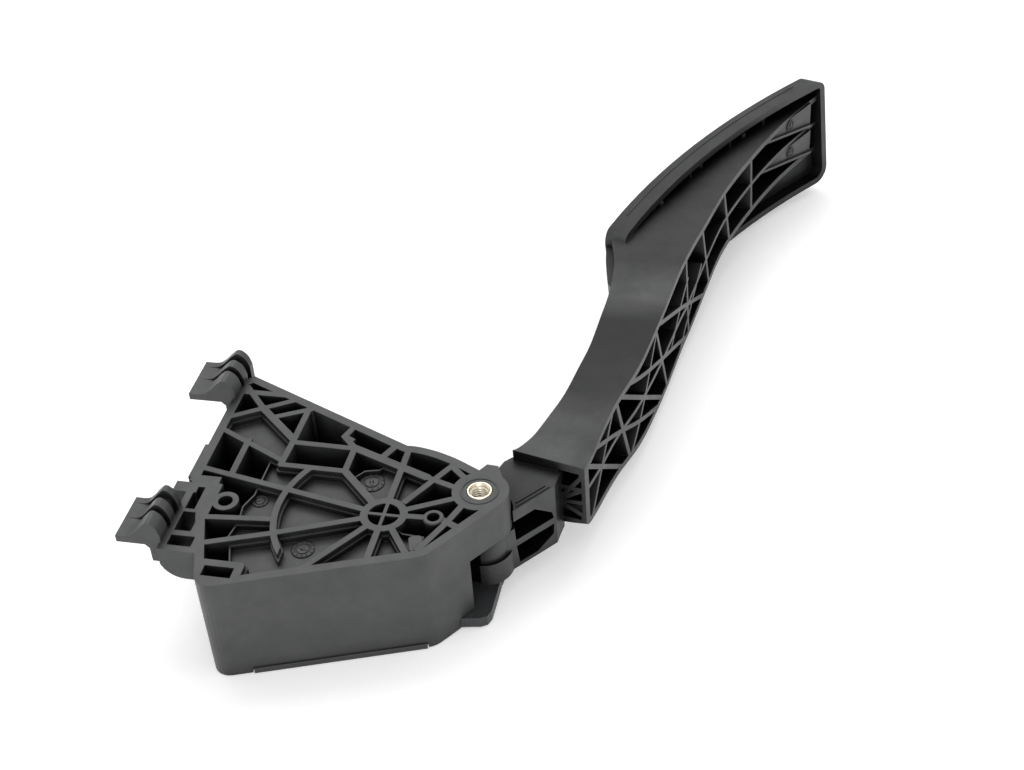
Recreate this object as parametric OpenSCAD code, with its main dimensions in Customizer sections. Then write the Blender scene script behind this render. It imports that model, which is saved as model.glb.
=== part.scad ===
// Accelerator pedal module lying on its cover: ribbed housing with two hooks,
// lattice pedal arm on a vertical pivot, return springs and contactless sensor.
// The origin is on the pivot axis at the level of the underside; +Z runs up the
// pivot, +Y runs along the hooked back edge and +X points away from that edge.

/* [Housing] */
// Distance from the hooked back edge to the pivot axis
case_len = 95; // [92:0.5:98]
// Height of the housing from its underside to the ribbed face
case_h = 40; // [38:0.5:44]
// Thickness of the outer walls
wall = 3; // [2.4:0.1:3.4]
// Thickness of the ribs on the ribbed face
rib_w = 2.1; // [1.6:0.1:2.6]
// Depth of the shallow pockets of the ribbed face
shallow_depth = 4; // [2.5:0.1:5]
// Depth of the deep pockets at the hook end
deep_depth = 20; // [12:0.5:20]
// Depth of the deep pockets at the pivot end
near_depth = 13; // [8:0.5:13]
// Outer radius of the cross boss
cross_r = 7.6; // [6.5:0.1:8.5]
// Radius of the arc rib round the cross boss
arc_r = 34.8; // [32:0.1:36]
// Height of the low cavity that holds the springs
cavity_h = 16; // [15.5:0.1:16.5]
// Height of the high cavity that holds the sensor
sensor_cavity_h = 23; // [22.5:0.1:23.4]

/* [Hooks] */
// Width of a hook along the back edge
hook_w = 18; // [14:0.5:18]
// Reach of a hook beyond the back edge
hook_reach = 15.5; // [12:0.5:18]
// Height of a hook's arch above the ribbed face
hook_rise = 8; // [6:0.5:10]
// Thickness of a hook's flat tongue
tongue_t = 2.5; // [2:0.1:3.5]

/* [Pivot] */
// Radius of the boss at the pivot end of the housing
boss_r = 9.5; // [9.2:0.1:10]
// Height of the gap between the two ears
ear_gap = 21.3; // [21.3:0.1:21.6]
// Thickness of the lower ear of the cover
ear_low = 4; // [3.6:0.1:4.2]
// Diameter of the pivot pin
pin_d = 6; // [5:0.1:6.4]
// Running clearance round the pivot pin, on the radius
pin_clear = 0.04; // [0.02:0.01:0.08]
// Wall of the hub bushes
bush_t = 1; // [0.8:0.1:1.2]
// Outer diameter of the threaded insert
insert_d = 8.4; // [8:0.1:9]
// Bore of the threaded insert
insert_bore = 6; // [5:0.1:6.4]
// Length of the threaded insert
insert_len = 11; // [8:0.5:12]

/* [Pedal arm] */
// Radius of the hub core
hub_r = 6.4; // [6:0.1:6.8]
// Thickness of the arm's outer walls
arm_wall = 2.4; // [1.8:0.1:3]
// Thickness of the lattice ribs
lattice_w = 1.7; // [1.3:0.1:2.2]
// Height of the arm at its root end
arm_root_h = 26.5; // [24:0.5:28]
// Width of the pad across its foot face
pad_w = 48; // [46:0.5:50]
// Radius of the foot face of the pad
pad_r = 316; // [306:1:330]
// Depth of the pad from its foot face to its rim
pad_depth = 9; // [7:0.5:11]
// Thickness of the pad's plate
pad_plate = 3.4; // [2.6:0.1:4.4]
// Thickness of the pad's rim
pad_rim = 2.6; // [2:0.1:3.4]
// Number of grip grooves across the foot face
grip_count = 7; // [3:1:9]
// Pedal travel in degrees
travel = 18; // [12:1:18]

/* [Springs] */
// Mean radius of the outer return spring
spring_out_r = 5.6; // [5.4:0.1:5.7]
// Mean radius of the inner return spring
spring_in_r = 3.5; // [3.2:0.1:3.7]
// Wire diameter of the outer return spring
wire_out = 1.3; // [1.1:0.1:1.4]
// Wire diameter of the inner return spring
wire_in = 1; // [0.8:0.1:1.1]
// Fitted length of the return springs
spring_len = 30; // [28:0.5:31]

/* [Sensor] */
// Length of the sensor board
board_l = 36; // [30:0.5:38]
// Width of the sensor board
board_w = 15; // [12:0.5:16]
// Thickness of the sensor board
board_t = 1.6; // [1:0.1:2]
// Pitch of the connector terminals
pin_pitch = 3.5; // [3:0.1:3.8]

/* [Hidden] */

$fn = 48;
e = 0.02;
back_x = -case_len;
face_z = case_h;
black = [0.16, 0.16, 0.17];
dark = [0.2, 0.2, 0.21];

// Levels of the inside
cover_t = 2;
fit = 0.2;
low_z = cover_t + cavity_h;
high_z = cover_t + sensor_cavity_h;
ear_top = ear_low + ear_gap;

// Points of the housing's plan
front_left = [back_x + 18.7, -55.2];
front_right = [-10.1, -31.3];
far_corner = [back_x + 3.6, 47];
far_low = [-28.6, 18.3];
front_dir = atan2(front_right[1] - front_left[1], front_right[0] - front_left[0]);
front_normal = [-sin(front_dir), cos(front_dir)];
far_dir = atan2(far_low[1] - far_corner[1], far_low[0] - far_corner[0]);
cheek_dir = 55.3;
cheek_end = (boss_r - 0.06) * [cos(cheek_dir - 90), sin(cheek_dir - 90)];
corner_r = 5.5;
step_y = -8.5;
inner_corner = [back_x + 7.2, -22];

// Anchors of the ribbed face
gate = [-27.5, -15];
screw_at = [-11.6, -14.2];
ring_at = [-79.8, -16.2];
knot = [-82.7, 30.5];
spine_top = [-66.8, 35];
spine_mid = [-67.1, 14.8];
spine_low = [-67.6, 3.4];
box_top = [-45.6, 14.5];
box_low = [-45.6, 3.2];
chord_left = [-47.5, 18.3];
chord_right = [-7.6, 0.4];
gate_top = [-27.5, 18];
screw_hole = 4.1;
ring_hole = 4.8;

// A spline through hand-chosen points, with n steps between each pair
function spline(p, n = 6) = [
    for (i = [0 : len(p) - 2], k = [0 : n - 1])
        let (a = p[max(i - 1, 0)], b = p[i], c = p[i + 1], d = p[min(i + 2, len(p) - 1)], t = k / n)
            0.5 * (2 * b + (c - a) * t + (2 * a - 5 * b + 4 * c - d) * t * t
                + (3 * b - a - 3 * c + d) * t * t * t),
    p[len(p) - 1]];

function arc(c, r, a0, a1, n = 12) = [
    for (i = [0 : n]) let (a = a0 + (a1 - a0) * i / n) c + r * [cos(a), sin(a)]];

function reverse(p) = [for (i = [len(p) - 1 : -1 : 0]) p[i]];

// A rounded corner at c on the way from a to b
function corner(a, c, b, r, n = 6) =
    let (u = (a - c) / norm(a - c), v = (b - c) / norm(b - c), h = acos(u * v) / 2,
        o = c + (u + v) / norm(u + v) * r / sin(h), p = c + u * r / tan(h) - o,
        s = u[0] * v[1] - u[1] * v[0] > 0 ? -1 : 1, start = atan2(p[1], p[0]))
        arc(o, r, start, start + s * (180 - 2 * h), n);

// The point of the front wall's outside at x
function front_at(x) = [x, front_left[1] + (x - front_left[0]) * tan(front_dir)];

// A bar of width w from a to b in the plane, run on a little so that bars join
module bar(a, b, w = rib_w, over = 0.5) {
    d = b - a;
    translate(a) rotate(atan2(d[1], d[0])) translate([-over, -w / 2]) square([norm(d) + 2 * over, w]);
}

module slab(z0, z1) {
    translate([0, 0, z0]) linear_extrude(z1 - z0) children();
}

// Plan of the housing without its hooks
module case_plan() {
    far_pts = spline([far_low, [-24.5, 18.2], [-18.2, 16.9], [-11.4, 14.4], [-5.5, 11.4], [-1.5, 9.3]], 4);
    polygon(concat(
        corner(inner_corner, front_left, front_right, corner_r),
        corner(front_left, front_right, cheek_end, 8, 3),
        [cheek_end, [0, 0]],
        reverse(far_pts),
        [far_corner, [back_x, 43.5], [back_x, step_y], [back_x + 7.2, step_y], inner_corner]));
    circle(r = boss_r);
}

// Outline of the carrier for the near hook
module bracket_plan() {
    polygon([[back_x + 1, step_y + 0.5], [back_x + 1, -40.5], [back_x + 14.4, -40.5],
        [back_x + 8.6, -22], [back_x + 8.6, step_y + 0.5]]);
}

// Ribs of the ribbed face
module face_ribs() {
    bar([back_x, 38.3], [-76, 38.3], rib_w + 0.3);
    bar([back_x + 3, 41], knot);
    bar(knot, spine_mid + [-0.4, 1.6], rib_w + 0.5);
    bar([back_x, 23.3], knot);
    bar(knot, [-71, 37.3]);
    bar([-77.2, 26.6], [-66, 32.2]);
    bar(spine_top, spine_mid);
    bar(spine_mid, spine_low);
    bar([back_x, 19.2], spine_low + [0, 1.8], rib_w - 0.2);
    bar(spine_mid, box_top);
    bar(spine_low, box_low);
    bar(box_top, box_low);
    bar([-49, 24.5], [-50.6, 20]);
    bar([-50.6, 20], chord_left);
    bar([-50.6, 20], [-47, 16.2]);
    bar([-47.6, 15.6], [-18.2, 4], rib_w + 0.8);
    bar([-18.2, 4], chord_right);
    bar([-31.8, 18.6], [-35, 12], rib_w + 0.3);
    bar(gate_top, gate);
    bar([-22.5, -8.5], [-10, 13.2]);
    bar([-10.6, 9.6], [-5, 4.4]);
    bar(gate, [-5, -3.4]);
    bar(gate, screw_at);
    bar([-4.2, -8], [-6.8, -15.2]);
    bar([-6.8, -15.2], [-13, -29]);
    bar([-8.5, -14.8], [-1.4, -18.2], rib_w + 0.3);
    bar(box_low, gate, rib_w + 0.4);
    bar([back_x, -1.2], gate);
    bar([-82.2, 14], [-82.2, -2.6]);
    bar([-84.4, -24.2], [-62.6, -22.2]);
    bar([-80.6, -35.6], [-60.4, -28.4]);
    bar([-60.4, -28.4], gate, rib_w);
    bar([-78.6, -43.4], [-64.8, -43.4]);
    bar([-65.6, -43.4], [-64.8, -51]);
    bar(gate, front_at(-48.4));
    bar(gate, front_at(gate[0]));
    bar(gate, front_at(-14.8));
    bar([-84.8, -9.3], [-84.8, -24], rib_w + 1);
    bar([back_x, -9.6], [-84.5, -9.6]);
    difference() {
        translate(gate) circle(r = arc_r + rib_w / 2);
        translate(gate) circle(r = arc_r - rib_w / 2);
        translate([gate[0] - 28, -60]) square([80, 120]);
        translate([gate[0] - 60, box_low[1]]) square([80, 60]);
    }
    translate(gate) circle(r = cross_r);
    translate(screw_at) circle(r = screw_hole / 2 + 1.3);
    translate(ring_at) circle(r = ring_hole / 2 + 1.9);
    circle(r = boss_r - 0.6);
}

// Where the pockets are deep, at the hook end
module deep_hook_zone() {
    polygon([[back_x, 23.3], knot, spine_mid, spine_low, box_low, box_top, [-47.2, 16.2],
        [-50.6, 20], [-49, 24.5], [-48, 32], [-80, 50], [back_x, 50]]);
    polygon([[back_x, 19.2], [-72.6, 8.5], [-72.6, -10], [-74.6, -16], [-73.6, -23],
        [-74.6, -30], [-73, -33], [-69.6, -43], [-79, -43.4], [-85, -24], [back_x, -8.4]]);
}

// Where the pockets are deep, at the pivot end
module deep_pivot_zone() {
    polygon([[-49, 24.5], [-50.6, 20], [-47.2, 15.9], [-18.2, 4], [-15.9, 3], [-22.5, -8.5], gate,
        [-20, -20.5], [-13, -21], [-12, -31], [12, -10], [12, 12], [-30, 22], [-48, 32]]);
    polygon([box_top, [-33.5, 10.2], [-35.4, 7.6], [-40, 6.4], [-43.4, 1.8], box_low]);
}

module pockets_plan() {
    difference() {
        offset(delta = -wall) case_plan();
        face_ribs();
        translate([-77.9, -60]) square([14, 17]);
    }
}

// The pockets of the ribbed face, cut from above to three depths
module shallow_plan() {
    difference() {
        pockets_plan();
        deep_hook_zone();
        deep_pivot_zone();
    }
}

module shallow_pockets() {
    slab(face_z - shallow_depth / 2, face_z + 1) shallow_plan();
    slab(face_z - shallow_depth, face_z + 1) offset(delta = -0.5) shallow_plan();
}

module hook_end_pockets() {
    slab(face_z - deep_depth, face_z + 1) intersection() {
        pockets_plan();
        deep_hook_zone();
    }
    slab(face_z - deep_depth, face_z + 1) translate([-76.3, -49.4]) square([9.6, 4.4]);
}

module pivot_end_pockets() {
    slab(face_z - near_depth, face_z + 1) intersection() {
        pockets_plan();
        deep_pivot_zone();
    }
}

module gate_pocket() {
    slab(face_z - near_depth, face_z + 1) translate(gate) difference() {
        circle(r = cross_r - 2.5);
        square([20, 1.1], center = true);
        square([1.1, 20], center = true);
    }
}

// One hook from its tongue over the arch to its leg; the near end is at y
module hook(y, reach) {
    tip = back_x - reach;
    k = reach / 15.5;
    leg_out = back_x - 2.6;
    leg_in = back_x + 1.8;
    under = face_z - 1.2;
    top = face_z + hook_rise;
    tongue_z = under + tongue_t;
    rib_top = spline([[tip, tongue_z], [tip + 5 * k, tongue_z + 0.2], [tip + 8 * k, tongue_z + 2.2],
        [tip + 10.6 * k, top - 1.9], [tip + 13.4 * k, top], [leg_in - 1.2, top - 1.9], [leg_in, top - 5.4]], 4);
    groove_top = spline([[tip, tongue_z], [tip + 8 * k, tongue_z], [tip + 11 * k, tongue_z + 2.6],
        [tip + 14 * k, top - 3.6], [leg_in - 2, top - 5], [leg_in - 1.6, top - 8]], 4);
    foot = [[leg_in, face_z - 8], [leg_out, face_z - 8], [leg_out, under - 1.4], [leg_out - 1.4, under]];
    lands = [[0, 6], [8.6, 12.1], [15.4, 18]];
    for (l = lands)
        translate([0, y + l[1] / 18 * hook_w, 0]) rotate([90, 0, 0])
            linear_extrude((l[1] - l[0]) / 18 * hook_w)
                polygon(concat(rib_top, foot, [[tip, under]]));
    translate([0, y + hook_w, 0]) rotate([90, 0, 0]) linear_extrude(hook_w)
        polygon(concat(groove_top, [[leg_in - 1.6, face_z - 8], [leg_out, face_z - 8]],
            [[leg_out, under - 1.4], [leg_out - 1.4, under], [tip, under]]));
}

// Side of the carrier for the near hook, with its large lower round
module bracket_side() {
    r = 8;
    x0 = back_x + 0.6;
    bottom = face_z - bracket_depth;
    translate([0, 5, 0]) rotate([90, 0, 0]) linear_extrude(60)
        polygon(concat([[x0, face_z + 1]], arc([x0 + r, bottom + r], r, 180, 270, 8),
            [[back_x + 20, bottom], [back_x + 20, face_z + 1]]));
}

bracket_depth = 12;

module bracket() {
    intersection() {
        bracket_side();
        slab(face_z - bracket_depth - 1, face_z) difference() {
            bracket_plan();
            translate([back_x + 3.4, -21.4]) square([3.2, 10.4]);
            translate([back_x + 3.4, -31.4]) square([5.6, 8.6]);
            translate([back_x + 3.4, -38.1]) square([8, 4.5]);
        }
    }
    slab(face_z - 6, face_z) translate([back_x - 3.8, -13.8]) square([8, 4.6]);
    translate([back_x - 1.2, -6.5, face_z - 4]) cube([2, 16.5, 3.6]);
}

// Interior of the housing, open at its underside
module cavity() {
    slab(-1, low_z) difference() {
        offset(delta = -wall) case_plan();
        for (p = SCREWS) translate(p) circle(r = screw_boss_r);
    }
    slab(low_z - 1, high_z) difference() {
        offset(delta = -wall - 0.4) case_plan();
        translate([-108, -60]) square([60, 120]);
        for (p = SCREWS) translate(p) circle(r = screw_boss_r);
    }
    // Rebate for the cover
    slab(-1, cover_t + fit) offset(delta = fit - cover_inset) case_plan();
    // Slot through which the cover's lip shows at the front wall
    slab(-1, cover_t + fit) lip_plan(0.4);
    // Room for the lower ear
    slab(-1, ear_low + 0.01) offset(delta = 0.3) lower_ear_plan();
}

module lip_plan(grow = 0) {
    bar(front_at(back_x + 31 - grow), front_at(-13 + grow), 6);
}

// The space that the pedal's hub and root need between the ears
module pivot_opening() {
    slab(ear_low, ear_top) polygon([[-2.6, -9.4], [-0.2, -17.6], [1, -30], [30, -30], [30, 30],
        [-6, 30], [-9.6, 8], [-9.6, -6]]);
    slab(-1, ear_top) polygon([[0.4, -17.2], [1, -30], [30, -30], [30, 30], [-6, 30], [-6.4, 9.8],
        [-7.2, -6], [-1.6, -9.6]]);
}

screw_boss_r = 3.6;
screw_d = 3;
cover_inset = 1.2;
SCREWS = [[back_x + 7, 36], [back_x + 7, -2], front_left + [4.3, 11.8], front_right + [-13.9, -0.1],
    [-40, 18.4]];

module housing_blank() {
    difference() {
        union() {
            slab(0, face_z) case_plan();
            bracket();
            hook(33, hook_reach);
            hook(-38, hook_reach - 2);
            slab(face_z - 8, face_z) polygon([[-4.5, 6], [-0.4, 12.9], [3.4, 12.6], [6.4, 6.4]]);
        }
        pivot_opening();
    }
}

module housing_ribbed() {
    difference() {
        difference() {
            difference() {
                housing_blank();
                shallow_pockets();
            }
            hook_end_pockets();
        }
        pivot_end_pockets();
        gate_pocket();
    }
}

module housing() {
    color(black) difference() {
        union() {
            housing_ribbed();
            slab(face_z - 3, face_z + 0.3) translate(screw_at) circle(r = screw_hole / 2 + 1.1);
            latch_finger();
        }
        difference() {
            cavity();
            spring_anchor();
            board_posts();
        }
        translate([0, 0, face_z - insert_len]) cylinder(h = insert_len + 1, d = insert_d);
        translate([0, 0, ear_top - 1]) cylinder(h = pin_seat + 1, d = pin_d);
        translate(concat(screw_at, face_z - 10)) cylinder(h = 12, d = screw_hole);
        translate(concat(ring_at, low_z + 1)) cylinder(h = 40, d = ring_hole);
        for (p = SCREWS) translate(concat(p, -1)) cylinder(h = 13, d = screw_d);
        for (p = board_screw_at()) translate(concat(p, board_top)) cylinder(h = 3.4, d = 2);
        connector_hole();
    }
}

pin_seat = 1.6;

// Small rounded lug that stands in the pocket beside the screw boss
module latch_finger() {
    slab(face_z - near_depth - 1, face_z - 0.8) translate([-14.5, -25.5]) rotate(18)
        offset(r = 1.4) square([1.4, 4.2], center = true);
}

// Springs between the lever inside and a cup in the far corner of the cavity
lever_r = 27;
lever_w = 8;
bumper_t = 4;
lever_at = 232;
seat_at = lever_r * [cos(lever_at), sin(lever_at)];
spring_dir = 147;
spring_z = 10.2;
seat_len = 4;
spring_from = seat_at + 7.4 * [cos(spring_dir), sin(spring_dir)];
spring_to = spring_from + spring_len * [cos(spring_dir), sin(spring_dir)];

// Fixed wall of the housing behind the spring cup
module spring_anchor() {
    slab(cover_t + fit, low_z + 1) translate(spring_to) rotate(spring_dir) translate([3.2, -9]) square([3, 18]);
}

// Place on the lever's edge where it stops at full travel
module stop_place() {
    rotate(lever_at - travel) translate([15, -lever_w / 2 - 0.1, 0]) children();
}

// Block on the cover that the lever meets at full travel
module stop_block() {
    stop_place() translate([-3.5, -bumper_t - 6, cover_t - 0.5]) cube([7, 6, cavity_h - 1.5]);
}

module cover_plan() {
    offset(delta = -cover_inset) case_plan();
    intersection() {
        lip_plan();
        offset(delta = 0.5) case_plan();
    }
}

// Lower ear: the cover reaches out under the hub
module lower_ear_plan() {
    polygon([[-9, -23], [-0.8, -21.4], [2.2, -20.9], [4.4, -19.6], [5.3, -17], [5.3, -10], [5.2, -2],
        [4, 5], [-6, 9.5], [-12, -4]]);
    circle(r = 5.4);
}

module cover() {
    color(dark) difference() {
        union() {
            slab(0, cover_t) difference() {
                cover_plan();
                polygon([[0.4, -17.2], [1, -30], [30, -30], [30, 30], [-6, 30], [-6.4, 9.8]]);
            }
            slab(0, ear_low - 0.2) lower_ear_plan();
            stop_block();
            connector_shell();
        }
        translate([0, 0, ear_low - pin_seat_low]) cylinder(h = 5, d = pin_d);
        for (p = SCREWS) translate(concat(p, -1)) cylinder(h = 5, d = screw_d + 0.4);
        for (p = SCREWS) translate(concat(p, -1)) cylinder(h = 1 + screw_head_t, d = screw_d * 2);
    }
}

pin_seat_low = 2.4;
screw_head_t = 1.2;

// Connector low on the far side, its axis along +Y
conn_at = [-58, 32];
conn_dir = 90;
conn_w = 3 * pin_pitch + 8;
conn_h = pin_pitch + 8;
conn_z = cover_t + 1.2;
conn_len = 18;

module connector_place() {
    translate([conn_at[0], conn_at[1], 0]) rotate(conn_dir) children();
}

module connector_shell() {
    connector_place() difference() {
        union() {
            translate([-7.4, -conn_w / 2, 0]) cube([conn_len + 7.4, conn_w, conn_z + conn_h]);
            translate([4, -2, conn_z + conn_h - e]) cube([8, 4, 1.6]);
        }
        translate([2, -conn_w / 2 + 1.6, 1.6]) cube([conn_len, conn_w - 3.2, conn_z + conn_h - 3.2]);
        for (i = [-1, 0, 1], k = [-0.5, 0.5])
            translate([-9, i * pin_pitch, conn_z + conn_h / 2 + k * pin_pitch - 0.8])
                rotate([0, 90, 0]) cylinder(h = 14, d = 1.2);
    }
}

module connector_hole() {
    connector_place() translate([-9, -conn_w / 2 - fit, -1])
        cube([30, conn_w + 2 * fit, conn_z + conn_h + 1 + fit]);
}

module terminals() {
    color("gold") connector_place()
        for (i = [-1, 0, 1], k = [-0.5, 0.5])
            translate([-10, i * pin_pitch, conn_z + conn_h / 2 + k * pin_pitch - 0.8])
                rotate([0, 90, 0]) cylinder(h = 19, d = 1.2);
}

module cover_seal() {
    color([0.1, 0.1, 0.1]) slab(cover_t, cover_t + fit) difference() {
        offset(delta = -cover_inset) case_plan();
        offset(delta = -wall) case_plan();
        translate([-12, -40]) square([40, 80]);
        translate([-70, 22]) square([24, 20]);
        for (p = SCREWS) translate(p) circle(r = screw_d / 2 + 0.3);
    }
}

module cover_screws() {
    color("silver") for (p = SCREWS) translate(concat(p, 0.2)) difference() {
        union() {
            cylinder(h = screw_head_t - 0.2, d = screw_d * 2 - 0.6);
            cylinder(h = 11, d = screw_d);
        }
        translate([0, 0, -e]) cylinder(h = 0.7, d = 2.2, $fn = 6);
    }
}

module threaded_insert() {
    color("gold") difference() {
        translate([0, 0, face_z - insert_len]) cylinder(h = insert_len, d = insert_d);
        translate([0, 0, face_z - insert_len - 1]) cylinder(h = insert_len + 2, d = insert_bore);
    }
}

module pivot_pin() {
    color("silver") translate([0, 0, ear_low - pin_seat_low])
        cylinder(h = ear_gap + pin_seat_low + pin_seat, d = pin_d);
}

hub_low = ear_low + 1;
hub_top = ear_top - 1;
bush_len = 6;

module bush(z) {
    difference() {
        translate([0, 0, z]) cylinder(h = bush_len, d = pin_d + 2 * bush_t);
        translate([0, 0, z - 1]) cylinder(h = bush_len + 2, d = pin_d + 2 * pin_clear);
    }
}

module bush_upper() {
    color([0.75, 0.6, 0.35]) bush(hub_top - bush_len);
}

module bush_lower() {
    color([0.75, 0.6, 0.35]) bush(hub_low);
}

module thrust_washers() {
    color([0.85, 0.85, 0.8]) for (z = [ear_low, hub_top]) difference() {
        translate([0, 0, z]) cylinder(h = 0.98, d = 10.6);
        translate([0, 0, z - 1]) cylinder(h = 3, d = pin_d + 0.3);
    }
}

// Plan curves of the arm: its front face and its latticed back
arm_front = [[5.2, 25.1], [7.3, 26.8], [11.2, 33], [14.6, 42.4], [17.6, 53], [20, 68.3], [21.6, 80],
    [22.4, 96], [23, 112], [22, 130], [19.6, 142]];
arm_back = [[30.2, 19.6], [31.6, 26.7], [35.4, 50], [40.4, 71], [43.7, 97.7], [46.7, 129.4], [48.8, 145],
    [51.6, 164], [56.4, 194.5], [64.6, 223.5], [71.5, 243], [78, 258], [87.1, 276]];

// The arm's height along its length: upper and lower edges in the plane of Y and Z
arm_low = 36 - arm_root_h;
arm_upper = [[18.2, 35.8], [24, 36.2], [32, 37.2], [40, 38.4], [60, 39.6], [90, 40], [140, 39.6],
    [165, 37.5], [200, 35], [280, 34.5]];
arm_lower = [[18.2, arm_low + 3.6], [19.2, arm_low + 2.6], [20.2, arm_low + 1.4], [21.4, arm_low + 0.5],
    [23, arm_low], [26, arm_low - 0.4], [32, 8.3], [40, 7.6], [60, 5.4], [85, 2.6], [108, 0.8],
    [130, 0.4], [150, 1.6], [172, 4.6], [200, 6.4], [280, 7]];

pad_centre = [322.8, 77];
pad_a0 = 139.8;
pad_a1 = 167;
pad_top = 40;
pad_low = pad_top - pad_w;
pad_cant = 5;
pad_dir = (pad_a0 + pad_a1) / 2;
pad_mid = pad_centre + pad_r * [cos(pad_dir), sin(pad_dir)];
pad_inner = pad_r - pad_plate / 2;

module arm_plan() {
    polygon(concat(
        spline(arm_front, 5),
        arc(pad_centre, pad_inner, 166.4, pad_a0 + 0.3, 14),
        reverse(spline(arm_back, 5))));
}

// Leans the pad over about its top edge, its lower edge away from the foot
module lean() {
    translate([pad_mid[0], pad_mid[1], pad_top]) rotate(pad_dir) rotate([0, pad_cant, 0]) rotate(-pad_dir)
        translate([-pad_mid[0], -pad_mid[1], -pad_top]) children();
}

module arm_side(inset = 0) {
    rotate([90, 0, 90]) translate([0, 0, -40]) linear_extrude(240)
        polygon(concat(
            [for (p = spline(arm_lower, 4)) p + [0, inset]],
            [for (p = reverse(spline(arm_upper, 4))) p - [0, inset]]));
}

// Lattice of the arm's back in the plane of Y and Z: crossings with diagonals
module lattice_plan() {
    centre = [[16, 26.4], [34.9, 24], [55, 23.4], [75.3, 22.3], [100.8, 19], [139.3, 15.8], [168, 19.4],
        [195, 20.6], [222, 21], [279, 21]];
    for (i = [0 : len(centre) - 2]) bar(centre[i], centre[i + 1], lattice_w);
    // Diagonals that fall and rise along the arm
    bar([15.4, 40.6], [57.5, 4.8], lattice_w);
    bar([20.8, 6], [50.6, 41], lattice_w);
    bar([20.4, 41], [98.5, 0.9], lattice_w);
    bar([50.5, 41], [62, 4], lattice_w);
    bar([51.5, 41], [103.5, 0], lattice_w);
    bar([59.5, 3.5], [96.1, 41], lattice_w);
    bar([56.9, 41], [146, -1.4], lattice_w);
    bar([91.7, 41], [109.6, -1], lattice_w);
    bar([92.2, 41], [166, 3.7], lattice_w);
    bar([124, -1.6], [160, 21.6], lattice_w);
    bar([114.7, 13.4], [141, 28.1], lattice_w);
    // Cross ribs behind the pad
    bar([138.5, 41], [142.5, -1], lattice_w);
    bar([160.2, 41], [173.4, 0], lattice_w);
    bar([191.2, 41], [201.4, 2], lattice_w);
    bar([220.8, 41], [223.2, 2], lattice_w);
}

// Walls and lattice of the arm between its front face and its back
module arm_body() {
    difference() {
        intersection() {
            slab(-1, 42) arm_plan();
            arm_side();
        }
        intersection() {
            slab(-1, 42) arm_void_plan();
            arm_side(arm_wall);
        }
        end_pockets();
    }
    intersection() {
        slab(-1, 42) arm_plan();
        arm_side();
        rotate([90, 0, 90]) translate([0, 0, -10]) linear_extrude(120) lattice_plan();
    }
}

// The arm's hollow: behind the front wall, and open to the pad's plate along the pad
module arm_void_plan() {
    difference() {
        polygon(concat(
            [for (p = spline(arm_front, 5)) p + [arm_wall, 0]],
            arc(pad_centre, pad_r - 4.5, 165.8, 165.4, 1),
            arc(pad_centre, pad_r + 3, 165.2, pad_a0 + 0.3, 14),
            [for (p = reverse(spline(arm_back, 5))) p + [30, 0]]));
        polygon([[0, 0], [60, 0], [60, 19], [32, 19.4 + arm_wall], [7.2, 25 + arm_wall + 2], [0, 28]]);
    }
}

// What stands out before the pad's plate, cut from the arm
module pad_front() {
    lean() slab(pad_low - 20, pad_top + 20) intersection() {
        pad_ring(pad_r + 24, pad_inner);
        polygon([[-40, 149.4], [60, 149.4], [140, 320], [-40, 320]]);
    }
}

// Pad: a curved tray with a rim round its back
module pad_ring(outer, inner) {
    translate(pad_centre) difference() {
        circle(r = outer, $fn = 180);
        circle(r = inner, $fn = 180);
    }
}

module pad() {
    difference() {
        intersection() {
            slab(pad_low - 1, pad_top + 1) pad_ring(pad_r, pad_r - pad_depth);
            pad_outline(0);
        }
        intersection() {
            slab(pad_low - 1, pad_top + 1) pad_ring(pad_r - pad_plate, pad_r - pad_depth - 3);
            pad_outline(pad_rim);
        }
    }
}

// Rounded outline of the pad as a prism square to its middle
module pad_outline(inset) {
    half = pad_r * sin((pad_a1 - pad_a0) / 2) - 0.4 - inset;
    top = pad_top - inset;
    low = pad_low + inset;
    lower_r = 5 - inset;
    upper_r = 4 - inset;
    toe_r = 7 - inset;
    translate([pad_mid[0], pad_mid[1], 0]) rotate(pad_dir) rotate([90, 0, 90])
        translate([0, 0, -40]) linear_extrude(60) polygon(concat(
            arc([half - lower_r, top - lower_r], lower_r, 0, 90, 6),
            arc([upper_r - half, top - upper_r], upper_r, 90, 180, 6),
            arc([toe_r - half, low + toe_r], toe_r, 180, 270, 6),
            arc([half - lower_r, low + lower_r], lower_r, 270, 360, 6)));
}

// Grooves across the foot face
module grip_grooves() {
    for (i = [1 : grip_count]) {
        a = pad_a0 + (pad_a1 - pad_a0) * i / (grip_count + 1);
        translate([pad_centre[0], pad_centre[1], (pad_top + pad_low) / 2]) rotate(a) translate([pad_r, 0, 0])
            rotate(45) cube([1.5, 1.5, pad_w - 12], center = true);
    }
}

// Small gussets between the rim and the arm's upper side
module pad_gussets() {
    for (a = [161.5, 156, 150.6, 146.4])
        translate([pad_centre[0], pad_centre[1], 0]) rotate(a)
            translate([pad_r - pad_depth + 1, -0.7, 33]) cube([pad_depth - 2.6, 1.4, 5.4]);
}

// Lip below the lower end of the pad
module pad_lip() {
    slab(4, 35) polygon([[15.4, 148.6], [17, 138], [18.6, 130], [20.4, 122], [22.8, 117.5], [24, 130],
        [22, 148.6]]);
}

root_dir = 51;
root_low = hub_low + 2;
root_top = 32;

// Root of the arm beside the hub, in plan
module root_plan() {
    polygon([[5.6, -5.1], [21.2, 14.2], [21.4, 17.6], [22, 22.4], [4.6, 26.4], [2.3, 23.8], [-1, 13], [-3, 6],
        [0, 0]]);
}

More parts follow.
